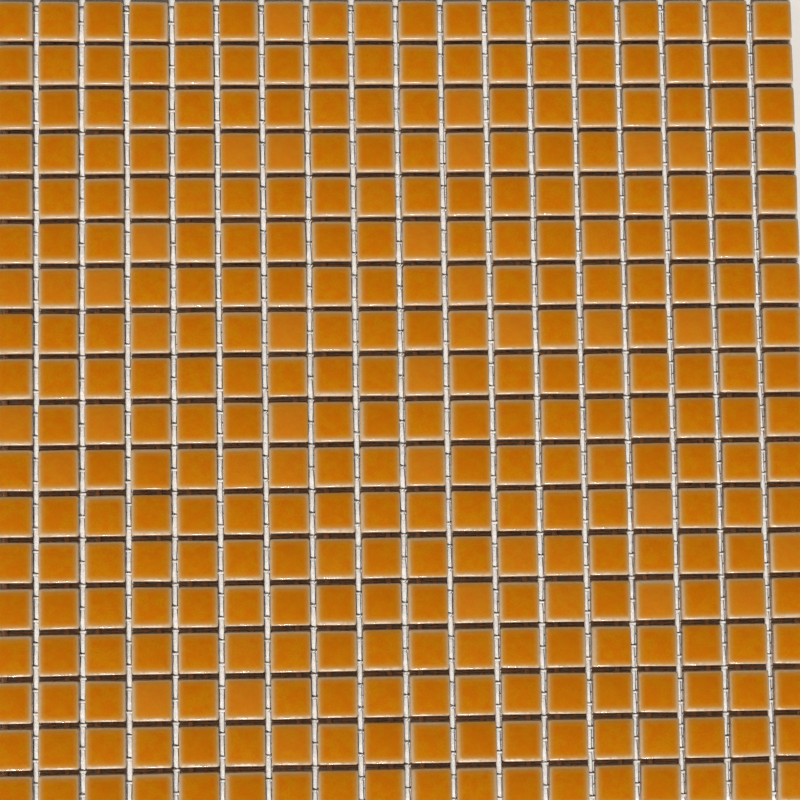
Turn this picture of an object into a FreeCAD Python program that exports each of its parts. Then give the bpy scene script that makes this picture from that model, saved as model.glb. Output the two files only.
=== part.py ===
import FreeCAD, Part
import math
import os
import Sketcher

# Net-backed mosaic tile sheet: square glazed chips in rows and columns, glued by
# their backs to a woven net. Millimetres. The sheet lies flat on the net, the
# glazed faces look up (+Z), and the origin is the middle of the underside.

document = FreeCAD.newDocument("mosaic_tile_sheet")
sheet = document.addObject("Spreadsheet::Sheet", "dims")

# Driving dimensions
DIMENSIONS = [
    ("tile_width", 15.0, "chip at its back, along X and Y"),
    ("tile_thickness", 5.0, "chip, back to glazed face"),
    ("side_draft", 3.5, "degrees that the pressed sides lean in towards the face"),
    ("edge_bevel", 0.45, "soft arris all round the glazed face"),
    ("joint_width", 1.93, "open joint between the backs of two chips"),
    ("tile_columns", 18, "chips along X"),
    ("tile_rows", 18, "chips along Y"),
    ("warps_per_tile", 3, "warp strands for each column of chips"),
    ("warp_width", 1.7, "flat lengthwise strand, across"),
    ("warp_thickness", 0.35, "flat lengthwise strand, through"),
    ("wefts_per_tile", 4, "weft strands for each row of chips"),
    ("weft_width", 0.9, "crosswise strand, across"),
    ("weft_thickness", 0.25, "crosswise strand, through"),
    ("net_setback", 1.0, "trimmed net edge, back from the outer chips"),
]
for line, (alias, value, meaning) in enumerate(DIMENSIONS, start=1):
    sheet.set(f"A{line}", alias.replace("_", " "))
    sheet.set(f"B{line}", str(value))
    sheet.set(f"C{line}", meaning)
    sheet.setAlias(f"B{line}", alias)
document.recompute()

# Sizes that several pieces share, as expressions of the sheet's cells
TILE_PITCH = "(dims.tile_width + dims.joint_width)"
SHEET_LENGTH = f"(dims.tile_columns * {TILE_PITCH} - dims.joint_width)"
SHEET_DEPTH = f"(dims.tile_rows * {TILE_PITCH} - dims.joint_width)"
NET_TOP = "(dims.warp_thickness + dims.weft_thickness)"
WARP_COUNT = "(dims.tile_columns * dims.warps_per_tile - 1)"
WARP_SPACING = f"({TILE_PITCH} / dims.warps_per_tile)"
WEFT_COUNT = "(dims.tile_rows * dims.wefts_per_tile - 1)"
WEFT_SPACING = f"({TILE_PITCH} / dims.wefts_per_tile)"

# How far in from the back's edge the flat face begins. The blunted corners take
# twice this off each side, so that they run out at the corners of the flat face.
FACE_INSET = "(dims.tile_thickness * tan(dims.side_draft * 1 deg) + dims.edge_bevel)"


def new_body(name):
    """A body that may hold several like solids that don't touch."""
    body = document.addObject("PartDesign::Body", name)
    body.Label = name
    body.AllowCompound = True
    return body


def origin_feature(body, role):
    for feature in body.Origin.OriginFeatures:
        if feature.Role == role:
            return feature
    raise RuntimeError(f"{body.Label} has no {role}")


def rectangle_sketch(body, name, plane, width, height, centred):
    """A rectangle, centred on the plane's origin or standing on its horizontal axis."""
    sketch = body.newObject("Sketcher::SketchObject", name)
    sketch.AttachmentSupport = [(origin_feature(body, plane), "")]
    sketch.MapMode = "FlatFace"
    half = sheet.get(width) / 2
    high = sheet.get(height)
    low = 0.0
    if centred:
        low = -high / 2
        high = high / 2
    corners = [
        FreeCAD.Vector(-half, low, 0),
        FreeCAD.Vector(half, low, 0),
        FreeCAD.Vector(half, high, 0),
        FreeCAD.Vector(-half, high, 0),
    ]
    for index in range(4):
        side = Part.LineSegment(corners[index], corners[(index + 1) % 4])
        sketch.addGeometry(side)
    for index in range(4):
        sketch.addConstraint(Sketcher.Constraint("Coincident", index, 2, (index + 1) % 4, 1))
    sketch.addConstraint(Sketcher.Constraint("Horizontal", 0))
    sketch.addConstraint(Sketcher.Constraint("Vertical", 1))
    sketch.addConstraint(Sketcher.Constraint("Horizontal", 2))
    sketch.addConstraint(Sketcher.Constraint("Vertical", 3))
    if centred:
        sketch.addConstraint(Sketcher.Constraint("Symmetric", 0, 1, 2, 1, -1, 1))
    else:
        sketch.addConstraint(Sketcher.Constraint("Symmetric", 0, 1, 0, 2, -1, 1))
    across = sketch.addConstraint(Sketcher.Constraint("DistanceX", 0, 1, 0, 2, 2 * half))
    sketch.renameConstraint(across, "across")
    sketch.setExpression("Constraints.across", f"dims.{width}")
    upward = sketch.addConstraint(Sketcher.Constraint("DistanceY", 1, 1, 1, 2, high - low))
    sketch.renameConstraint(upward, "upward")
    sketch.setExpression("Constraints.upward", f"dims.{height}")
    return sketch


def repeat(body, name, axis, count, spacing):
    """Repeat the body's whole shape along one of its axes."""
    document.recompute()
    pattern = body.newObject("PartDesign::LinearPattern", name)
    pattern.TransformMode = "Whole shape"
    pattern.Direction = (origin_feature(body, axis), [""])
    pattern.setExpression("Length", f"({count} - 1) * {spacing}")
    pattern.setExpression("Occurrences", count)
    body.Tip = pattern
    return pattern


def lean_sides(body, name, block):
    """Draft the block's upright faces inwards from its back, which keeps its size."""
    document.recompute()
    upright = []
    for number, face in enumerate(block.Shape.Faces, start=1):
        if face.BoundBox.ZLength > sheet.get("tile_thickness") / 2:
            upright.append(f"Face{number}")
    sides = body.newObject("PartDesign::Draft", name)
    sides.Base = (block, upright)
    sides.NeutralPlane = (origin_feature(body, "XY_Plane"), [""])
    sides.setExpression("Angle", "dims.side_draft")
    return sides


def soften_face(body, name, block):
    """Bevel the edges of the block's upper face."""
    document.recompute()
    face_level = block.Shape.BoundBox.ZMax
    edges = []
    for number, edge in enumerate(block.Shape.Edges, start=1):
        if edge.BoundBox.ZMin > face_level - sheet.get("edge_bevel") / 2:
            edges.append(f"Edge{number}")
    arris = body.newObject("PartDesign::Chamfer", name)
    arris.Base = (block, edges)
    arris.setExpression("Size", "dims.edge_bevel")
    return arris


def corner_sketch(body, name):
    """The right-angled piece that is taken off the block's corner at +X, +Y."""
    sketch = body.newObject("Sketcher::SketchObject", name)
    sketch.AttachmentSupport = [(origin_feature(body, "XY_Plane"), "")]
    sketch.MapMode = "FlatFace"
    half = sheet.get("tile_width") / 2
    draft = math.radians(sheet.get("side_draft"))
    cut = 2 * (sheet.get("tile_thickness") * math.tan(draft) + sheet.get("edge_bevel"))
    corner = FreeCAD.Vector(half, half, 0)
    along_x = FreeCAD.Vector(half - cut, half, 0)
    along_y = FreeCAD.Vector(half, half - cut, 0)
    sketch.addGeometry(Part.LineSegment(corner, along_x))
    sketch.addGeometry(Part.LineSegment(along_x, along_y))
    sketch.addGeometry(Part.LineSegment(along_y, corner))
    for index in range(3):
        sketch.addConstraint(Sketcher.Constraint("Coincident", index, 2, (index + 1) % 3, 1))
    sketch.addConstraint(Sketcher.Constraint("Horizontal", 0))
    sketch.addConstraint(Sketcher.Constraint("Vertical", 2))
    sizes = [
        ("reach_x", Sketcher.Constraint("DistanceX", -1, 1, 0, 1, half), "dims.tile_width / 2"),
        ("reach_y", Sketcher.Constraint("DistanceY", -1, 1, 0, 1, half), "dims.tile_width / 2"),
        ("leg_x", Sketcher.Constraint("DistanceX", 0, 2, 0, 1, cut), f"2 * {FACE_INSET}"),
        ("leg_y", Sketcher.Constraint("DistanceY", 1, 2, 2, 2, cut), f"2 * {FACE_INSET}"),
    ]
    for label, constraint, expression in sizes:
        number = sketch.addConstraint(constraint)
        sketch.renameConstraint(number, label)
        sketch.setExpression(f"Constraints.{label}", expression)
    return sketch


def blunt_corners(body, number):
    """Take the four upright corners off the block."""
    corner = body.newObject("PartDesign::Pocket", f"corner_{number:02d}")
    corner.Profile = corner_sketch(body, f"corner_outline_{number:02d}")
    corner.Type = "ThroughAll"
    corner.Reversed = True
    document.recompute()
    corners = body.newObject("PartDesign::PolarPattern", f"corners_{number:02d}")
    corners.Originals = [corner]
    corners.Axis = (origin_feature(body, "Z_Axis"), [""])
    corners.Angle = 360
    corners.Occurrences = 4
    body.Tip = corners
    return corners


# One row of pressed and glazed chips: a square block whose sides lean in towards
# the face, with a soft arris round the face and blunted upright corners, repeated
# along X. Rows are counted from +Y.
def tile_row(number):
    body = new_body(f"tile_row_{number:02d}")
    outline = rectangle_sketch(
        body, f"chip_outline_{number:02d}", "XY_Plane", "tile_width", "tile_width", True
    )
    block = body.newObject("PartDesign::Pad", f"chip_block_{number:02d}")
    block.Profile = outline
    block.setExpression("Length", "dims.tile_thickness")
    sides = lean_sides(body, f"chip_sides_{number:02d}", block)
    soften_face(body, f"face_arris_{number:02d}", sides)
    blunt_corners(body, number)
    repeat(body, f"columns_{number:02d}", "X_Axis", "dims.tile_columns", TILE_PITCH)
    body.setExpression("Placement.Base.x", f"-(dims.tile_columns - 1) / 2 * {TILE_PITCH}")
    body.setExpression(
        "Placement.Base.y", f"((dims.tile_rows + 1) / 2 - {number}) * {TILE_PITCH}"
    )
    body.setExpression("Placement.Base.z", NET_TOP)
    return body


# Lengthwise strands of the net: flat bands along Y, one under the middle of each
# open joint and the others under the chips. They are what the sheet lies on.
def net_warps():
    body = new_body("net_warp_strands")
    section = rectangle_sketch(
        body, "warp_section", "XZ_Plane", "warp_width", "warp_thickness", False
    )
    strand = body.newObject("PartDesign::Pad", "warp_strand")
    strand.Profile = section
    strand.SideType = "Symmetric"
    strand.setExpression("Length", f"{SHEET_DEPTH} - 2 * dims.net_setback")
    repeat(body, "warps", "X_Axis", WARP_COUNT, WARP_SPACING)
    body.setExpression("Placement.Base.x", f"-({WARP_COUNT} - 1) / 2 * {WARP_SPACING}")
    return body


# Crosswise strands of the net: along X, on top of the lengthwise ones, under the
# backs of the chips.
def net_wefts():
    body = new_body("net_weft_strands")
    section = rectangle_sketch(
        body, "weft_section", "YZ_Plane", "weft_width", "weft_thickness", False
    )
    strand = body.newObject("PartDesign::Pad", "weft_strand")
    strand.Profile = section
    strand.SideType = "Symmetric"
    strand.setExpression("Length", f"{SHEET_LENGTH} - 2 * dims.net_setback")
    repeat(body, "wefts", "Y_Axis", WEFT_COUNT, WEFT_SPACING)
    body.setExpression("Placement.Base.y", f"-({WEFT_COUNT} - 1) / 2 * {WEFT_SPACING}")
    body.setExpression("Placement.Base.z", "dims.warp_thickness")
    return body


pieces = [net_warps(), net_wefts()]
for row in range(1, int(sheet.get("tile_rows")) + 1):
    pieces.append(tile_row(row))
document.recompute()

# Nothing is written unless every object came out sound
for thing in document.Objects:
    if "Invalid" in thing.State or "Error" in thing.State:
        raise RuntimeError(f"{thing.Label} failed: {thing.State}")
for piece in pieces:
    if piece.Shape.isNull() or not piece.Shape.isValid():
        raise RuntimeError(f"{piece.Label} has no valid shape")
    if not piece.Shape.Solids:
        raise RuntimeError(f"{piece.Label} has no solid")

os.makedirs("parts", exist_ok=True)
for piece in pieces:
    piece.Shape.exportStep(f"parts/{piece.Label}.step")
    box = piece.Shape.BoundBox
    print(
        f"{piece.Label}: {len(piece.Shape.Solids)} solids, "
        f"X {box.XMin:.2f} to {box.XMax:.2f}, "
        f"Y {box.YMin:.2f} to {box.YMax:.2f}, "
        f"Z {box.ZMin:.2f} to {box.ZMax:.2f} mm"
    )
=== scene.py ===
import math
import random

import bmesh
import bpy
from mathutils import Euler, Matrix, Vector


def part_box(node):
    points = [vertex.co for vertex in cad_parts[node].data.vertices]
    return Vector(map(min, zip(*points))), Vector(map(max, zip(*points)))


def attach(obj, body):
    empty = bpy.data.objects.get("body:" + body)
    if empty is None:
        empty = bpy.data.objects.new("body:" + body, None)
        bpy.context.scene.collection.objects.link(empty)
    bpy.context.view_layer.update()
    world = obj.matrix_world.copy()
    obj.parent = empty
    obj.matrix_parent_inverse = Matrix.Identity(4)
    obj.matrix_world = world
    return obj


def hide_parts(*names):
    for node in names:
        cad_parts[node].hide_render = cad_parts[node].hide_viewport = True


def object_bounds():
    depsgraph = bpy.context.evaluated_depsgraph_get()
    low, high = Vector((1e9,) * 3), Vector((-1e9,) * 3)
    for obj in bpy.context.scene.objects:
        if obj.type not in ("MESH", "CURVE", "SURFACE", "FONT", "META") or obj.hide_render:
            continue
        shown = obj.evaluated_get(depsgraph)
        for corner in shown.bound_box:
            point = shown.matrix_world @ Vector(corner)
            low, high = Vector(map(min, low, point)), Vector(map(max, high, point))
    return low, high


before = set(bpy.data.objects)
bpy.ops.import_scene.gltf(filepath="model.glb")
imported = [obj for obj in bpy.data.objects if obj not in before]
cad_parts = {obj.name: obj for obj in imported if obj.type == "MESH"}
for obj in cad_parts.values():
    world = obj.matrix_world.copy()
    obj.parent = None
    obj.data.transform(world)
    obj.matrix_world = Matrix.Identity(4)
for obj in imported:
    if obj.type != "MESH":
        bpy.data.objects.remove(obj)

bl_info = {
    "name": "Mosaic tile sheet",
    "version": (1, 0, 0),
    "blender": (4, 5, 0),
    "location": "3D View > Sidebar > Mosaic",
    "description": "Dresses a net-backed sheet of glazed mosaic chips",
    "category": "Object",
}

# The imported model's own sizes, in metres
CAD_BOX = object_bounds()
ROWS = sorted(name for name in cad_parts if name.startswith("tile_row_"))
FIRST_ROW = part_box(ROWS[0])
SECOND_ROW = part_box(ROWS[1])
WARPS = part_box("net_warp_strands")
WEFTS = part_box("net_weft_strands")
PITCH = FIRST_ROW[0].y - SECOND_ROW[0].y
COLUMNS = round((FIRST_ROW[1].x - FIRST_ROW[0].x) / PITCH)
CHIP_BACK = FIRST_ROW[1].y - FIRST_ROW[0].y
NET_TOP = FIRST_ROW[0].z
FACE_TOP = FIRST_ROW[1].z
WARPS_PER_CHIP = 3
WEFTS_PER_CHIP = 4
WARP_COUNT = COLUMNS * WARPS_PER_CHIP - 1
WEFT_COUNT = len(ROWS) * WEFTS_PER_CHIP - 1

# How the chips differ from one another: shares of their CAD size, turns in radians, and
# where the glaze pools on a chip's map, which runs from 0 to 1 across its back
CHIP_SEED = 18
CHIP_WIDTH_SHARE = 0.989
CHIP_SHRINK = (0.996, 1.003)
CHIP_THICKNESS_SHARE = (0.960, 0.972)
CHIP_TILT = 0.004
CHIP_TURN = 0.005
MAP_MIDDLE = Vector((0.5, 0.5))
POOL_X = (0.005, 0.016)
POOL_Y = (0.004, 0.015)
POOL_SPREAD = (0.995, 0.012)

# The pattern of a chip: the share of its thickness above which it is halved, the scale of
# the ring in its face, and how squarely and how late the crown falls towards the rim
TOP_SHARE = 0.75
RING_SCALE = 0.75
CROWN_SQUARENESS = 4
CROWN_FALL = 2.3
# Cuts and levels closer than these, in metres, are one
CUT_TOLERANCE = 1e-7
LEVEL_TOLERANCE = 1e-6

# The weave of the net. Warps, counted from the middle one, whose weave runs one weft late
LATE_WARPS = range(-10, 5)
# The warps stand a little closer than a third of the pitch, and a little to the left
WARP_DRAW = 0.9991
WARP_OFFSET = -0.00018
# Height of the net's middle plane, and how far the strands swing over and under it
NET_MIDDLE = 0.00030
WARP_SWING = 0.00012
WEFT_SWING = 0.00017
# Where a strand bends on either side of a crossing: the near and the far ring
WARP_BENDS = (0.0005, 0.0010)
WEFT_BENDS = (0.0007, 0.0013)
WARP_SEED = 53
WEFT_SEED = 71
# Height of a six-sided strand that is one unit across
STRAND_PATTERN_HEIGHT = 0.866
# Sideways waves and swellings of a strand: least and most radians to the metre
SLOW_WAVES = (40, 90)
QUICK_WAVES = (130, 240)
SWELLS = (90, 160)
LAST_START = 6.3
SWELL = 0.07
SWELL_IN_JOINT = 0.08
STRAND_SPIN = 0.02
MILLIMETRES = 1000
# Length of strand that one unit of its map covers, and the twist of its fibre in turns
# to that unit
MAP_LENGTH = 0.01
WARP_TWIST = 5.0
WEFT_TWIST = 8.0

# Tints of the glaze and the body that stay as they are
SPECK = (0.39, 0.115, 0.0005)
PALE_AMBER = (0.56, 0.19, 0.012)
DARK_AMBER = (0.46, 0.13, 0.001)
BODY_STAIN = (0.40, 0.33, 0.26)
# Tints of the net that stay as they are: grit, and painted shade between the threads, along the
# strands' edges, beside the crossings and in the crosswise joints
THREAD_SHADE = (0.44, 0.42, 0.37)
FIBRE_GRIT = (0.40, 0.385, 0.36)
EDGE_SHADE = (0.20, 0.17, 0.14)
CROSSING_SHADOW = (0.07, 0.055, 0.045)
JOINT_SHADE_TINT = (0.88, 0.52, 0.33)
# Tints of the lamp and the room
LAMP_TINT = (1.0, 0.975, 0.94)
NEAR_WALLS = (0.75, 0.72, 0.685)
FAR_WALLS = (0.17, 0.125, 0.085)
CEILING = (0.036, 0.033, 0.031)
BACKDROP = (0.80, 0.78, 0.755)

# The glaze between the middle of the face, 0, and the back's edge, 1: how squarely it
# follows the chip's outline, how far it wanders off it, and where it thins
RIM_SQUARENESS = 10.0
RIM_WANDER = 0.10
THINNING = (0.61, 0.95)
THIN = (0.81, 1.0)
# The glaze on the sides, in metres below the top of the face: how far its lower end
# wanders, where it gathers and where it ends
RUN_WANDER = 0.0016
GATHERED = (0.0030, 0.0013)
GLAZE_END = (0.0046, 0.0041)
BODY_ROUGHNESS = 0.88

# The fibre of a strand: how it is stretched along the strand, its threads once round, and
# how much its bundles push them aside
BUNDLE_STRETCH = (6.0, 1.2, 1.0)
THREADS_ROUND = 9.0
THREAD_PUSH = 1.6
# Where the painted shade at a strand's edge begins and is full. The edge lies at a quarter.
EDGE_SHADE_SPAN = (0.198, 0.234)
# The painted shade lines before and after a crossing, in millimetres, and their slant: the
# crossing strand's shadow and the shade in the crease on its other side
NEAR_SHADOW_LINE = 0.90
FAR_SHADE_LINE = -0.35
SHADE_LINE_SLANT = 2.2
# Where the painted shade tint of the crosswise joints begins, as the cosine of the way from joint
# to joint
JOINT_SHADE_EDGE = (0.80, 0.94)

# The stage: half the floor, the lamp's distance and the film's width in millimetres
FLOOR_REACH = 12.0
LAMP_DISTANCE = 2.0
FILM_WIDTH = 36.0
# How much the room's light falls off to the right and to the back
FALL_RIGHT = 0.50
FALL_BACK = 0.21
# The backdrop ends between these heights, as parts of a unit direction
BACKDROP_END = (0.15, 0.25)


class ChipSettings(bpy.types.PropertyGroup):
    """Sizes and colours of the glazed chips."""

    lean: bpy.props.FloatProperty(
        name="Lean of the sides",
        description="How far each pressed side leans in from the back to the face",
        default=0.00006,
        unit="LENGTH",
        precision=5,
    )
    corner: bpy.props.FloatProperty(
        name="Upright corners",
        description="Rounding of the chip's upright corners",
        default=0.0008,
        unit="LENGTH",
        precision=5,
    )
    arris: bpy.props.FloatProperty(
        name="Arris",
        description="Rounding between the face and the sides",
        default=0.00035,
        unit="LENGTH",
        precision=5,
    )
    crown: bpy.props.FloatProperty(
        name="Crown",
        description="Rise of the glazed face from its rim to its middle",
        default=0.00075,
        unit="LENGTH",
        precision=5,
    )
    unevenness: bpy.props.FloatProperty(
        name="Unevenness",
        description="How far a chip may sit or be shaped off its true place",
        default=0.00012,
        unit="LENGTH",
        precision=5,
    )
    amber: bpy.props.FloatVectorProperty(
        name="Amber glaze",
        description="Glaze where it lies thick, on the middle of the face",
        subtype="COLOR",
        size=3,
        min=0.0,
        max=1.0,
        default=(0.53, 0.186, 0.0010),
    )
    amber_deep: bpy.props.FloatVectorProperty(
        name="Deep amber glaze",
        description="Redder clouds in the glaze",
        subtype="COLOR",
        size=3,
        min=0.0,
        max=1.0,
        default=(0.545, 0.149, 0.0008),
    )
    golden: bpy.props.FloatVectorProperty(
        name="Golden glaze",
        description="Glaze where it thins towards the rim of the face",
        subtype="COLOR",
        size=3,
        min=0.0,
        max=1.0,
        default=(0.47, 0.235, 0.040),
    )
    thin_glaze: bpy.props.FloatVectorProperty(
        name="Thin glaze",
        description="Glaze where it runs thin over the arris and the body shows through",
        subtype="COLOR",
        size=3,
        min=0.0,
        max=1.0,
        default=(0.52, 0.375, 0.235),
    )
    glaze_run: bpy.props.FloatVectorProperty(
        name="Glaze run",
        description="Glaze that ran down and gathered on the upper part of the sides",
        subtype="COLOR",
        size=3,
        min=0.0,
        max=1.0,
        default=(0.42, 0.25, 0.135),
    )
    body: bpy.props.FloatVectorProperty(
        name="Bare body",
        description="Fired body on the sides and the back",
        subtype="COLOR",
        size=3,
        min=0.0,
        max=1.0,
        default=(0.56, 0.49, 0.41),
    )


class NetSettings(bpy.types.PropertyGroup):
    """Sizes and colours of the woven net."""

    warp_width: bpy.props.FloatProperty(
        name="Warp width",
        description="Lengthwise strand, across",
        default=0.00215,
        unit="LENGTH",
        precision=5,
    )
    warp_height: bpy.props.FloatProperty(
        name="Warp height",
        description="Lengthwise strand, through",
        default=0.00033,
        unit="LENGTH",
        precision=5,
    )
    weft_width: bpy.props.FloatProperty(
        name="Weft width",
        description="Crosswise strand, across",
        default=0.0009,
        unit="LENGTH",
        precision=5,
    )
    weft_height: bpy.props.FloatProperty(
        name="Weft height",
        description="Crosswise strand, through",
        default=0.00024,
        unit="LENGTH",
        precision=5,
    )
    sway: bpy.props.FloatProperty(
        name="Sway",
        description="How far a strand strays sideways from its straight line",
        default=0.00014,
        unit="LENGTH",
        precision=5,
    )
    fibre: bpy.props.FloatVectorProperty(
        name="Fibre",
        description="Resin-dressed glass fibre",
        subtype="COLOR",
        size=3,
        min=0.0,
        max=1.0,
        default=(0.96, 0.95, 0.925),
    )


class StageSettings(bpy.types.PropertyGroup):
    """Floor, light and camera."""

    floor: bpy.props.FloatVectorProperty(
        name="Floor",
        description="Pale floor under the sheet",
        subtype="COLOR",
        size=3,
        min=0.0,
        max=1.0,
        default=(0.80, 0.79, 0.77),
    )
    key_strength: bpy.props.FloatProperty(
        name="Key light",
        description="Strength of the key light",
        default=4.04,
        min=0.0,
    )
    key_elevation: bpy.props.FloatProperty(
        name="Key elevation",
        description="Height of the key light above the floor",
        default=math.radians(42),
        subtype="ANGLE",
    )
    key_turn: bpy.props.FloatProperty(
        name="Key turn",
        description="How far the key light stands to the left of the sheet's near side",
        default=math.radians(4.0),
        subtype="ANGLE",
    )
    key_spread: bpy.props.FloatProperty(
        name="Key spread",
        description="Angle that the key light takes up, which softens its shadows",
        default=math.radians(12),
        subtype="ANGLE",
    )
    lens: bpy.props.FloatProperty(
        name="Lens",
        description="Focal length of the camera",
        default=103.5,
        min=1.0,
        subtype="DISTANCE_CAMERA",
    )
    camera_place: bpy.props.FloatVectorProperty(
        name="Camera place",
        description="Where the camera stands",
        subtype="XYZ",
        size=3,
        default=(-0.04670, -0.08990, 0.85404),
    )
    camera_turn: bpy.props.FloatVectorProperty(
        name="Camera turn",
        description="How the camera is turned from looking straight down",
        subtype="EULER",
        size=3,
        default=(0.10531, -0.05230, -0.01613),
    )


# ---------------------------------------------------------------- materials


class NodeBoard:
    """The nodes of a material or a world, under construction."""

    def __init__(self, owner):
        owner.use_nodes = True
        self.tree = owner.node_tree
        self.tree.nodes.clear()

    def node(self, kind, **settings):
        made = self.tree.nodes.new("ShaderNode" + kind)
        for key, value in settings.items():
            setattr(made, key, value)
        return made

    def feed(self, source, target):
        """Join a socket to another, or write a plain value on it."""
        if isinstance(source, bpy.types.NodeSocket):
            self.tree.links.new(source, target)
        else:
            target.default_value = source

    def parts(self, vector):
        """The X, Y and Z of a vector, by name."""
        made = self.node("SeparateXYZ")
        self.feed(vector, made.inputs[0])
        return made.outputs

    def math(self, operation, *values):
        made = self.node("Math", operation=operation)
        for value, socket in zip(values, made.inputs):
            self.feed(value, socket)
        return made.outputs[0]

    def plus(self, first, second):
        return self.math("ADD", first, second)

    def minus(self, first, second):
        return self.math("SUBTRACT", first, second)

    def times(self, first, second):
        return self.math("MULTIPLY", first, second)

    def noise(self, where, scale, detail=2.0, roughness=0.5):
        made = self.node("TexNoise")
        self.feed(where, made.inputs["Vector"])
        made.inputs["Scale"].default_value = scale
        made.inputs["Detail"].default_value = detail
        made.inputs["Roughness"].default_value = roughness
        return made.outputs["Fac"]

    def ramp(self, value, low, high, first=0.0, last=1.0):
        """Carry low to high over to first to last, smoothly and held at both ends."""
        made = self.node("MapRange", interpolation_type="SMOOTHSTEP")
        self.feed(value, made.inputs["Value"])
        made.inputs["From Min"].default_value = low
        made.inputs["From Max"].default_value = high
        made.inputs["To Min"].default_value = first
        made.inputs["To Max"].default_value = last
        return made.outputs["Result"]

    def fade(self, value, low, high, first=1.0):
        """A ramp that ends at nothing."""
        return self.ramp(value, low, high, first, 0.0)

    def mix(self, share, first, second):
        """Mix two colours."""
        made = self.node("Mix", data_type="RGBA")
        self.feed(share, made.inputs["Factor"])
        self.feed(colour(first), made.inputs["A"])
        self.feed(colour(second), made.inputs["B"])
        for socket in made.outputs:
            if socket.type == "RGBA":
                return socket
        raise RuntimeError("the mix node has no colour output")

    def mix_numbers(self, share, first, second):
        made = self.node("Mix", data_type="FLOAT")
        self.feed(share, made.inputs["Factor"])
        self.feed(first, made.inputs[2])
        self.feed(second, made.inputs[3])
        return made.outputs[0]

    def bump(self, height, strength, distance, normal=None):
        made = self.node("Bump")
        made.inputs["Strength"].default_value = strength
        made.inputs["Distance"].default_value = distance
        self.feed(height, made.inputs["Height"])
        if normal is not None:
            self.feed(normal, made.inputs["Normal"])
        return made.outputs["Normal"]


class Finish(NodeBoard):
    """A material under construction, with its shader in place."""

    def __init__(self, name):
        self.material = bpy.data.materials.new(name)
        super().__init__(self.material)
        self.shader = self.node("BsdfPrincipled")
        output = self.node("OutputMaterial")
        self.feed(self.shader.outputs["BSDF"], output.inputs["Surface"])


def colour(value):
    """A colour socket as it is, or three numbers with a fourth for a colour socket."""
    if isinstance(value, bpy.types.NodeSocket):
        return value
    return (value[0], value[1], value[2], 1.0)


def darker(value, share):
    return tuple(share * part for part in value)


def glazed_chip_finish(settings):
    """Glaze that pools on the face, thins over the arris and ends on the bare sides."""
    finish = Finish("amber_glazed_chip")
    place = finish.node("TexCoord").outputs["Object"]
    height = finish.parts(place)["Z"]
    tone = finish.node("Attribute", attribute_name="tone").outputs["Fac"]
    chip_map = finish.parts(finish.node("UVMap", uv_map="chip").outputs["UV"])

    # How near the rim of its chip a point lies: 0 in the middle, 1 at the back's edge,
    # with rounded corners
    powers = []
    for axis in ("X", "Y"):
        off_middle = finish.math("ABSOLUTE", finish.minus(chip_map[axis], 0.5))
        powers.append(finish.math("POWER", finish.times(off_middle, 2.0), RIM_SQUARENESS))
    to_rim = finish.math("POWER", finish.plus(*powers), 1 / RIM_SQUARENESS)
    ragged = finish.noise(place, scale=900, detail=3.0, roughness=0.6)
    unrest = finish.minus(ragged, 0.5)
    waved = finish.plus(to_rim, finish.times(unrest, RIM_WANDER))
    thinning = finish.ramp(waved, *THINNING)
    thin = finish.ramp(waved, *THIN, last=0.95)

    # Clouds in the thick glaze, redder in the middle of the face, dark specks, and each
    # chip's own tone
    mottle = finish.noise(place, scale=260)
    clouds = finish.minus(mottle, finish.times(to_rim, 0.12))
    amber = finish.mix(finish.ramp(clouds, 0.30, 0.60), settings.amber, settings.amber_deep)
    specks = finish.noise(place, scale=1500, roughness=0.7)
    amber = finish.mix(finish.ramp(specks, 0.36, 0.66, last=0.34), amber, SPECK)
    toned = finish.mix(finish.ramp(tone, 0.80, 1.0, last=0.5), amber, PALE_AMBER)
    toned = finish.mix(finish.fade(tone, 0.0, 0.5, first=0.35), toned, DARK_AMBER)
    golden = finish.mix(thinning, toned, settings.golden)
    glaze = finish.mix(thin, golden, settings.thin_glaze)
    run_down = finish.plus(height, finish.times(unrest, RUN_WANDER))
    gathered = finish.fade(run_down, FACE_TOP - GATHERED[0], FACE_TOP - GATHERED[1])
    glaze = finish.mix(gathered, glaze, settings.glaze_run)

    # The bare body on the sides, below the ragged end of the glaze
    grain = finish.noise(place, scale=2600, detail=3.0, roughness=0.7)
    stain = finish.noise(place, scale=330)
    body = finish.mix(finish.ramp(grain, 0.3, 0.7), settings.body, darker(settings.body, 0.82))
    body = finish.mix(finish.ramp(stain, 0.45, 0.75, last=0.35), body, BODY_STAIN)
    glazed = finish.ramp(run_down, FACE_TOP - GLAZE_END[0], FACE_TOP - GLAZE_END[1])
    finish.feed(finish.mix(glazed, body, glaze), finish.shader.inputs["Base Color"])

    # Gloss on the glaze, duller where it is thin, and none on the body
    smear = finish.noise(place, scale=700)
    worn = finish.times(thin, finish.fade(smear, 0.50, 0.62, first=0.25))
    roughness = finish.plus(worn, finish.ramp(smear, 0.35, 0.62, first=0.17, last=0.06))
    roughness = finish.mix_numbers(glazed, BODY_ROUGHNESS, roughness)
    finish.feed(roughness, finish.shader.inputs["Roughness"])

    ripple = finish.noise(place, scale=420, roughness=0.45)
    wavy = finish.bump(ripple, strength=0.5, distance=0.00018)
    gritty = finish.times(grain, finish.minus(1.0, finish.times(glazed, 0.93)))
    relief = finish.bump(gritty, strength=0.6, distance=0.00010, normal=wavy)
    finish.feed(relief, finish.shader.inputs["Normal"])
    return finish.material


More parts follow.
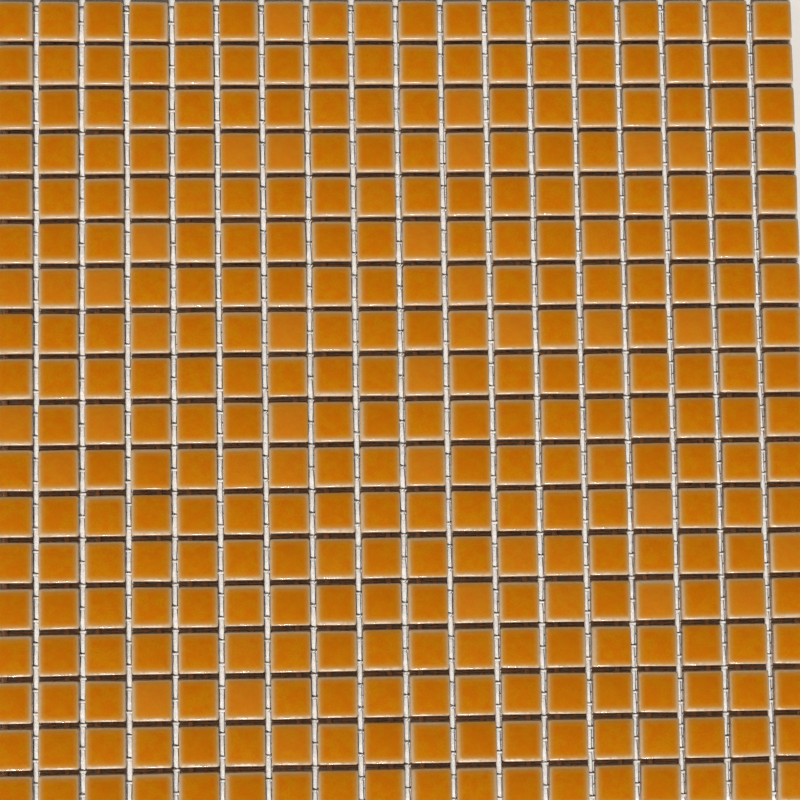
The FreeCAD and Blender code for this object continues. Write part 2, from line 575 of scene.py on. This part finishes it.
def fibre_finish(name, settings, twist, spacing):
    """Bundled glass fibre that lies along a strand with a slight twist.

    The strands that cross it stand spacing apart. X of the strand's map runs once round the
    strand, with the upper side in its second half, and Y runs along it.
    """
    finish = Finish(name)
    place = finish.node("TexCoord").outputs["Object"]
    strand_map = finish.node("UVMap", uv_map="strand").outputs["UV"]
    map_parts = finish.parts(strand_map)
    around, along = map_parts["X"], map_parts["Y"]
    stretch = finish.node("Mapping")
    finish.feed(strand_map, stretch.inputs["Vector"])
    finish.feed(BUNDLE_STRETCH, stretch.inputs["Scale"])
    bundles = finish.noise(stretch.outputs["Vector"], scale=2.2, detail=3.0, roughness=0.6)
    slant = finish.plus(finish.times(around, THREADS_ROUND), finish.times(along, twist))
    slant = finish.plus(slant, finish.times(bundles, THREAD_PUSH))
    threads = finish.math("SINE", finish.times(slant, 2 * math.pi))

    patchy = finish.noise(place, scale=620, detail=3.0, roughness=0.6)
    dusty = darker(settings.fibre, 0.87)
    white = finish.mix(finish.ramp(patchy, 0.32, 0.58), dusty, settings.fibre)
    # Painted shade in the grooves between the twisted threads
    shaded = finish.mix(finish.fade(threads, -1.0, 0.2, first=0.16), white, THREAD_SHADE)
    grainy = finish.noise(place, scale=2400, roughness=0.7)
    shaded = finish.mix(finish.ramp(grainy, 0.54, 0.66, last=0.56), shaded, FIBRE_GRIT)

    # Painted shade, thin and grey, along both edges of a strand where it meets the chips' sides.
    # At the crossings of the joints, where light reaches in from all round, less of it is painted.
    across = finish.minus(finish.math("FRACT", finish.times(around, 2.0)), 0.5)
    off_middle = finish.times(0.5, finish.math("ABSOLUTE", across))
    in_crossing = finish.math("COSINE", finish.times(along, 2 * math.pi * MAP_LENGTH / PITCH))
    uneven = finish.minus(finish.times(bundles, 0.08), finish.times(in_crossing, 0.03))
    uneven = finish.plus(uneven, finish.times(finish.minus(patchy, 0.5), 0.09))
    edge = finish.ramp(finish.plus(off_middle, uneven), *EDGE_SHADE_SPAN)
    shaded_strand = finish.mix(edge, shaded, EDGE_SHADE)

    # Painted shade on either side of each place where the strand passes under another: the dark
    # shadow of the crossing strand on one side, lighter shade in the crease on the other. The
    # distance from that place is in millimetres, and the lines lie aslant.
    turn = finish.node("Attribute", attribute_name="turn").outputs["Fac"]
    passed = finish.plus(finish.times(along, MAP_LENGTH / spacing), turn)
    off_under = finish.minus(finish.math("FRACT", finish.times(passed, 0.5)), 0.5)
    off_under = finish.times(off_under, 2 * spacing * MILLIMETRES)
    aslant = finish.times(finish.minus(around, 0.75), SHADE_LINE_SLANT)
    skewed = finish.plus(finish.minus(off_under, aslant), finish.times(bundles, 0.5))
    to_near_shadow = finish.math("ABSOLUTE", finish.minus(skewed, NEAR_SHADOW_LINE))
    to_far_shade = finish.math("ABSOLUTE", finish.minus(skewed, FAR_SHADE_LINE))
    near_shadow = finish.fade(to_near_shadow, 0.12, 0.32)
    far_shade = finish.fade(to_far_shade, 0.08, 0.24, first=0.5)
    crossing_shade = finish.math("MAXIMUM", near_shadow, far_shade)
    crossing_shade = finish.times(crossing_shade, finish.ramp(patchy, 0.34, 0.56, first=0.35))
    shaded_strand = finish.mix(crossing_shade, shaded_strand, CROSSING_SHADOW)

    # Painted shade: away from the lengthwise joints, where the key light runs along the strands,
    # the net's upper side is tinted brown as the shaded crosswise joints look
    to_joint = finish.math("COSINE", finish.times(finish.parts(place)["X"], 2 * math.pi / PITCH))
    upper = finish.math("GREATER_THAN", finish.math("FRACT", around), 0.5)
    joint_shade = finish.times(finish.fade(to_joint, *JOINT_SHADE_EDGE), upper)
    finish.feed(finish.mix(joint_shade, shaded_strand, JOINT_SHADE_TINT), finish.shader.inputs["Base Color"])
    roughness = finish.ramp(patchy, 0.3, 0.7, first=0.42, last=0.62)
    finish.feed(roughness, finish.shader.inputs["Roughness"])
    rolled = finish.bump(bundles, strength=0.9, distance=0.00022)
    relief = finish.bump(threads, strength=0.5, distance=0.00005, normal=rolled)
    finish.feed(relief, finish.shader.inputs["Normal"])
    return finish.material


def floor_finish(settings):
    finish = Finish("pale_floor")
    place = finish.node("TexCoord").outputs["Object"]
    mottle = finish.ramp(finish.noise(place, scale=6.0, detail=4.0), 0.3, 0.7)
    tint = finish.mix(mottle, settings.floor, darker(settings.floor, 0.97))
    finish.feed(tint, finish.shader.inputs["Base Color"])
    finish.feed(0.9, finish.shader.inputs["Roughness"])
    return finish.material


# ---------------------------------------------------------------- pieces


def add_piece(shape, name, node, finish):
    """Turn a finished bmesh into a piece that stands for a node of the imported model."""
    mesh = bpy.data.meshes.new(name)
    shape.to_mesh(mesh)
    shape.free()
    mesh.materials.append(finish)
    piece = bpy.data.objects.new(name, mesh)
    bpy.context.scene.collection.objects.link(piece)
    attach(piece, "root")
    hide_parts(node)


def round_edges(shape, edges, offset, segments):
    bmesh.ops.bevel(shape, geom=edges, offset=offset, offset_type="OFFSET", affect="EDGES",
                    segments=segments, profile=0.5, material=-1)


def halve_top(shape, level, across):
    """Cut what lies above a level along the middle line that across points away from."""
    upper = [face for face in shape.faces if face.calc_center_median().z > level]
    around = dict.fromkeys(part for face in upper for part in (*face.verts, *face.edges))
    bmesh.ops.bisect_plane(shape, geom=[*around, *upper], dist=CUT_TOLERANCE,
                           plane_co=(0, 0, 0), plane_no=across,
                           clear_outer=False, clear_inner=False)


def settle_face_order(shape):
    """Sort the faces by the numbers of their corners.

    Bevel and inset leave the order open, so it would change from run to run.
    """
    shape.verts.index_update()
    ranked = sorted(shape.faces, key=lambda face: sorted(vert.index for vert in face.verts))
    for rank, face in enumerate(ranked):
        face.index = rank
    shape.faces.sort()


def chip_pattern(settings):
    """One chip as a mesh: leaning sides, rounded corners, a soft arris and a pillowed face."""
    shape = bmesh.new()
    thickness = FACE_TOP - NET_TOP
    half_way = thickness / 2
    bmesh.ops.create_cube(shape, size=1.0)
    bmesh.ops.translate(shape, vec=(0, 0, 0.5), verts=shape.verts)
    bmesh.ops.scale(shape, vec=(CHIP_BACK, CHIP_BACK, thickness), verts=shape.verts)
    upright = [edge for edge in shape.edges
               if abs(edge.verts[0].co.z - edge.verts[1].co.z) > half_way]
    round_edges(shape, upright, settings.corner, segments=2)
    top = [vert for vert in shape.verts if vert.co.z > half_way]
    narrower = 1 - 2 * settings.lean / CHIP_BACK
    bmesh.ops.scale(shape, vec=(narrower, narrower, 1), verts=top)
    rim = [edge for edge in shape.edges if min(vert.co.z for vert in edge.verts) > half_way]
    round_edges(shape, rim, settings.arris, segments=3)

    # A ring, halved along both middle lines as the arris is, carries the crown
    face = max(shape.faces,
               key=lambda each: (round(each.calc_center_median().z, 6), each.calc_area()))
    bmesh.ops.inset_region(shape, faces=[face], thickness=0.0, depth=0.0)
    bmesh.ops.scale(shape, vec=(RING_SCALE, RING_SCALE, 1), verts=face.verts)
    for across in ((1, 0, 0), (0, 1, 0)):
        halve_top(shape, thickness * TOP_SHARE, across)
    half_back = CHIP_BACK / 2
    for vert in shape.verts:
        if vert.co.z > half_way:
            powers = (abs(place / half_back) ** CROWN_SQUARENESS for place in vert.co.xy)
            reach = sum(powers) ** (1 / CROWN_SQUARENESS)
            vert.co.z -= settings.crown * reach ** CROWN_FALL

    for face in shape.faces:
        face.smooth = True
    for edge in shape.edges:
        if max(vert.co.z for vert in edge.verts) < LEVEL_TOLERANCE:
            edge.smooth = False
    layer = shape.loops.layers.uv.new("chip")
    for face in shape.faces:
        for loop in face.loops:
            loop[layer].uv = loop.vert.co.xy / CHIP_BACK + MAP_MIDDLE
    settle_face_order(shape)
    mesh = bpy.data.meshes.new("chip_pattern")
    shape.to_mesh(mesh)
    shape.free()
    return mesh


def lay_chip(shape, pattern, middle, settings, chance):
    """Add one chip to its row, a little off true in place, turn, level and outline.

    Its glaze lies a little off its middle too.
    """
    before = len(shape.verts)
    shape.from_mesh(pattern)
    shape.verts.ensure_lookup_table()
    verts = shape.verts[before:]
    slack = settings.unevenness
    shrink = chance.uniform(*CHIP_SHRINK)
    half = CHIP_BACK / 2
    pulls = [Vector((chance.gauss(0, slack / 2), chance.gauss(0, slack / 2), 0)) for _ in range(4)]
    for vert in verts:
        right = (vert.co.x / half + 1) / 2
        back = (vert.co.y / half + 1) / 2
        vert.co += pulls[0] * (1 - right) * (1 - back) + pulls[1] * right * (1 - back)
        vert.co += pulls[2] * (1 - right) * back + pulls[3] * right * back
    turn = Euler([chance.gauss(0, most) for most in (CHIP_TILT, CHIP_TILT, CHIP_TURN)])
    thinning = chance.uniform(*CHIP_THICKNESS_SHARE)
    size = Matrix.Diagonal((CHIP_WIDTH_SHARE * shrink, shrink, thinning, 1))
    bmesh.ops.transform(shape, matrix=turn.to_matrix().to_4x4() @ size, verts=verts)
    step = Vector((middle.x + chance.gauss(-slack / 2, slack / 2),
                   middle.y + chance.gauss(slack / 3, slack / 2), 0))
    step.z = NET_TOP - min(vert.co.z for vert in verts)
    layer = shape.loops.layers.uv["chip"]
    pool = Vector((chance.gauss(*POOL_X), chance.gauss(*POOL_Y)))
    spread = chance.gauss(*POOL_SPREAD)
    for vert in verts:
        for loop in vert.link_loops:
            loop[layer].uv = (loop[layer].uv - MAP_MIDDLE - pool) * spread + MAP_MIDDLE
    for axis in (0, 1):
        reach = max(abs(vert.co[axis] + step[axis]) for vert in verts)
        step[axis] -= math.copysign(max(0.0, reach - CAD_BOX[1][axis]), step[axis])
    bmesh.ops.translate(shape, vec=step, verts=verts)
    return verts


class MOSAIC_OT_lay_chips(bpy.types.Operator):
    """Lay the rows of glazed chips on the net"""

    bl_idname = "mosaic.lay_chips"
    bl_label = "Lay the chips"

    def execute(self, context):
        settings = context.scene.mosaic_chips
        chance = random.Random(CHIP_SEED)
        finish = glazed_chip_finish(settings)
        pattern = chip_pattern(settings)
        for name in ROWS:
            low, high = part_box(name)
            shape = bmesh.new()
            tone = shape.verts.layers.float.new("tone")
            for place in crossing_places(COLUMNS, PITCH):
                middle = Vector((place, (low.y + high.y) / 2, 0))
                verts = lay_chip(shape, pattern, middle, settings, chance)
                own_tone = chance.random()
                for vert in verts:
                    vert[tone] = own_tone
            piece_name = name.replace("tile_row", "glazed_chips_row")
            add_piece(shape, piece_name, name, finish)
        bpy.data.meshes.remove(pattern)
        return {"FINISHED"}


def crossing_places(count, spacing):
    """Where count like things stand about the middle, spacing apart."""
    return [(index - (count - 1) / 2) * spacing for index in range(count)]


def strand_pattern(length, crossings, bends):
    """A six-sided strand along Y, one unit across, with four rings at each crossing."""
    near, far = bends
    shape = bmesh.new()
    bmesh.ops.create_cone(shape, cap_ends=True, cap_tris=False, segments=6,
                          radius1=0.5, radius2=0.5, depth=1.0)
    flat_side_up = Matrix.Rotation(math.pi / 2, 3, "X") @ Matrix.Rotation(math.pi / 6, 3, "Z")
    bmesh.ops.rotate(shape, cent=(0, 0, 0), matrix=flat_side_up, verts=shape.verts)
    lengthwise = [edge for edge in shape.edges
                  if abs(edge.verts[0].co.y - edge.verts[1].co.y) > 0.5]
    bmesh.ops.subdivide_edges(shape, edges=lengthwise, cuts=4 * len(crossings), use_grid_fill=True)
    # The rings, in order along the strand, go to their places about the crossings
    places = [-length / 2]
    for crossing in crossings:
        places += [crossing - far, crossing - near, crossing + near, crossing + far]
    places.append(length / 2)
    layer = shape.loops.layers.uv.new("strand")
    steps = len(places) - 1
    for vert in shape.verts:
        vert.co.y = places[round((vert.co.y + 0.5) * steps)]
    for face in shape.faces:
        middle = face.calc_center_median()
        face_turn = math.atan2(middle.z, middle.x)
        face.smooth = len(face.verts) == 4
        for loop in face.loops:
            point = loop.vert.co
            off = math.remainder(math.atan2(point.z, point.x) - face_turn, 2 * math.pi)
            loop[layer].uv = ((face_turn + off) / (2 * math.pi) + 0.5, point.y / MAP_LENGTH)
    mesh = bpy.data.meshes.new("strand_pattern")
    shape.to_mesh(mesh)
    shape.free()
    return mesh


def warp_turn(warp):
    """0 for a warp that passes over the middle weft, 1 for one that passes under it."""
    return (warp + (warp in LATE_WARPS)) % 2


def wave(chance, rates):
    """The rate of a wave along a strand, and where it starts."""
    return chance.uniform(*rates), chance.uniform(0, LAST_START)


def weave_strand(shape, pattern, line, strand):
    """Add one strand: thin, flat and swaying, over and under the strands that cross it."""
    before = len(shape.verts)
    shape.from_mesh(pattern)
    shape.verts.ensure_lookup_table()
    chance = strand["chance"]
    sways = [wave(chance, SLOW_WAVES), wave(chance, QUICK_WAVES)]
    swell_rate, swell_start = wave(chance, SWELLS)
    spin = chance.uniform(-STRAND_SPIN, STRAND_SPIN)
    height = strand["height"] / STRAND_PATTERN_HEIGHT
    for vert in shape.verts[before:]:
        along = vert.co.y
        level = strand["levels"][round(along / strand["spacing"])]
        aside = sum(math.sin(along * rate + start) for rate, start in sways) / 2 * strand["sway"]
        width = 1 + SWELL * math.sin(along * swell_rate + swell_start)
        width += SWELL_IN_JOINT * math.cos(2 * math.pi * along / PITCH)
        across = vert.co.x * width * strand["width"]
        raised = NET_MIDDLE + strand["swing"] * level + vert.co.z * height + across * spin
        vert[strand["turn_layer"]] = strand["turn"]
        vert.co = strand["frame"] @ Vector((line + aside + across, along, raised))


class MOSAIC_OT_weave_warps(bpy.types.Operator):
    """Weave the net's lengthwise strands"""

    bl_idname = "mosaic.weave_warps"
    bl_label = "Weave the warps"

    def execute(self, context):
        settings = context.scene.mosaic_net
        chance = random.Random(WARP_SEED)
        spacing = PITCH / WEFTS_PER_CHIP
        crossings = crossing_places(WEFT_COUNT, spacing)
        pattern = strand_pattern(WARPS[1].y - WARPS[0].y, crossings, WARP_BENDS)
        shape = bmesh.new()
        turn_layer = shape.verts.layers.float.new("turn")
        wefts = range(-(WEFT_COUNT // 2) - 1, WEFT_COUNT // 2 + 2)
        for index, line in enumerate(crossing_places(WARP_COUNT, PITCH / WARPS_PER_CHIP)):
            turn = warp_turn(index - WARP_COUNT // 2)
            weave_strand(shape, pattern, line * WARP_DRAW + WARP_OFFSET, {
                "chance": chance, "spacing": spacing, "turn": turn, "turn_layer": turn_layer,
                "levels": {weft: 1 - 2 * ((weft + turn) % 2) for weft in wefts},
                "width": settings.warp_width, "height": settings.warp_height,
                "sway": settings.sway, "swing": WARP_SWING, "frame": Matrix.Identity(3),
            })
        finish = fibre_finish("warp_glass_fibre", settings, WARP_TWIST, spacing)
        add_piece(shape, "warp_strands", "net_warp_strands", finish)
        bpy.data.meshes.remove(pattern)
        return {"FINISHED"}


class MOSAIC_OT_weave_wefts(bpy.types.Operator):
    """Weave the net's crosswise strands"""

    bl_idname = "mosaic.weave_wefts"
    bl_label = "Weave the wefts"

    def execute(self, context):
        settings = context.scene.mosaic_net
        chance = random.Random(WEFT_SEED)
        spacing = PITCH / WARPS_PER_CHIP
        crossings = crossing_places(WARP_COUNT, spacing)
        pattern = strand_pattern(WEFTS[1].x - WEFTS[0].x, crossings, WEFT_BENDS)
        shape = bmesh.new()
        turn_layer = shape.verts.layers.float.new("turn")
        turned = Matrix.Rotation(-math.pi / 2, 3, "Z")
        warps = range(-(WARP_COUNT // 2) - 1, WARP_COUNT // 2 + 2)
        for index, line in enumerate(crossing_places(WEFT_COUNT, PITCH / WEFTS_PER_CHIP)):
            weft = index - WEFT_COUNT // 2
            weave_strand(shape, pattern, -line, {
                "chance": chance, "spacing": spacing, "turn": 1 - weft % 2,
                "turn_layer": turn_layer,
                "levels": {warp: 2 * ((weft + warp_turn(warp)) % 2) - 1 for warp in warps},
                "width": settings.weft_width, "height": settings.weft_height,
                "sway": settings.sway, "swing": WEFT_SWING, "frame": turned,
            })
        finish = fibre_finish("weft_glass_fibre", settings, WEFT_TWIST, spacing)
        add_piece(shape, "weft_strands", "net_weft_strands", finish)
        bpy.data.meshes.remove(pattern)
        return {"FINISHED"}


class MOSAIC_OT_set_stage(bpy.types.Operator):
    """Set the floor, the light and the camera"""

    bl_idname = "mosaic.set_stage"
    bl_label = "Set the stage"

    def execute(self, context):
        settings = context.scene.mosaic_stage
        self.lay_floor(context, settings)
        self.hang_light(context, settings)
        self.light_room(context)
        self.place_camera(context, settings)
        context.scene.view_settings.view_transform = "Standard"
        return {"FINISHED"}

    def lay_floor(self, context, settings):
        shape = bmesh.new()
        bmesh.ops.create_grid(shape, x_segments=1, y_segments=1, size=FLOOR_REACH)
        mesh = bpy.data.meshes.new("floor")
        shape.to_mesh(mesh)
        shape.free()
        mesh.materials.append(floor_finish(settings))
        floor = bpy.data.objects.new("floor", mesh)
        context.scene.collection.objects.link(floor)

    def hang_light(self, context, settings):
        lamp = bpy.data.lights.new("key_light", "SUN")
        lamp.energy = settings.key_strength
        lamp.angle = settings.key_spread
        lamp.color = LAMP_TINT
        light = bpy.data.objects.new("key_light", lamp)
        flat = math.cos(settings.key_elevation)
        towards = Vector((-flat * math.sin(settings.key_turn),
                          -flat * math.cos(settings.key_turn),
                          math.sin(settings.key_elevation)))
        light.rotation_euler = towards.to_track_quat("Z", "Y").to_euler()
        light.location = towards * LAMP_DISTANCE
        context.scene.collection.objects.link(light)

    def light_room(self, context):
        """Pale walls all round, dimmer behind and to the right, and a dim ceiling.

        Low down, a plain pale backdrop stands round the sheet for the camera, for
        reflections and through glass.
        """
        world = bpy.data.worlds.new("room")
        board = NodeBoard(world)
        direction = board.parts(board.node("TexCoord").outputs["Generated"])
        dimming = board.math("MULTIPLY_ADD", direction["X"], FALL_RIGHT, direction["Z"])
        dimming = board.math("MULTIPLY_ADD", direction["Y"], FALL_BACK, dimming)
        fall = board.node("ValToRGB")
        board.feed(dimming, fall.inputs["Fac"])
        fall.color_ramp.interpolation = "EASE"
        first, last = fall.color_ramp.elements
        first.position, first.color = 0.0, colour(NEAR_WALLS)
        last.position, last.color = 0.92, colour(CEILING)
        fall.color_ramp.elements.new(0.5).color = colour(FAR_WALLS)

        rays = board.node("LightPath").outputs
        seen = board.math("MAXIMUM", rays["Is Camera Ray"], rays["Is Glossy Ray"])
        seen = board.math("MAXIMUM", seen, rays["Is Transmission Ray"])
        low_down = board.fade(direction["Z"], *BACKDROP_END)
        shown = board.times(seen, low_down)
        glow = board.node("Background")
        board.feed(board.mix(shown, fall.outputs["Color"], BACKDROP), glow.inputs["Color"])
        output = board.node("OutputWorld")
        board.feed(glow.outputs["Background"], output.inputs["Surface"])
        context.scene.world = world

    def place_camera(self, context, settings):
        lens = bpy.data.cameras.new("camera")
        lens.type = "PERSP"
        lens.sensor_width = FILM_WIDTH
        lens.lens = settings.lens
        camera = bpy.data.objects.new("camera", lens)
        camera.location = settings.camera_place
        camera.rotation_euler = settings.camera_turn
        context.scene.collection.objects.link(camera)
        context.scene.camera = camera


class MOSAIC_PT_sheet(bpy.types.Panel):
    """The mosaic sheet's settings and steps"""

    bl_idname = "MOSAIC_PT_sheet"
    bl_label = "Mosaic sheet"
    bl_space_type = "VIEW_3D"
    bl_region_type = "UI"
    bl_category = "Mosaic"

    def draw(self, context):
        steps = (
            (context.scene.mosaic_chips, ("mosaic.lay_chips",)),
            (context.scene.mosaic_net, ("mosaic.weave_warps", "mosaic.weave_wefts")),
            (context.scene.mosaic_stage, ("mosaic.set_stage",)),
        )
        for settings, operators in steps:
            box = self.layout.box()
            for name in settings.bl_rna.properties.keys():
                if name not in ("rna_type", "name"):
                    box.prop(settings, name)
            for operator in operators:
                box.operator(operator)


CLASSES = (
    ChipSettings,
    NetSettings,
    StageSettings,
    MOSAIC_OT_lay_chips,
    MOSAIC_OT_weave_warps,
    MOSAIC_OT_weave_wefts,
    MOSAIC_OT_set_stage,
    MOSAIC_PT_sheet,
)


def register():
    for each in CLASSES:
        bpy.utils.register_class(each)
    bpy.types.Scene.mosaic_chips = bpy.props.PointerProperty(type=ChipSettings)
    bpy.types.Scene.mosaic_net = bpy.props.PointerProperty(type=NetSettings)
    bpy.types.Scene.mosaic_stage = bpy.props.PointerProperty(type=StageSettings)


def unregister():
    del bpy.types.Scene.mosaic_stage
    del bpy.types.Scene.mosaic_net
    del bpy.types.Scene.mosaic_chips
    for each in reversed(CLASSES):
        bpy.utils.unregister_class(each)


def main():
    register()
    bpy.ops.mosaic.set_stage()
    bpy.ops.mosaic.lay_chips()
    bpy.ops.mosaic.weave_warps()
    bpy.ops.mosaic.weave_wefts()
    bpy.context.view_layer.update()


if __name__ == "__main__":
    main()
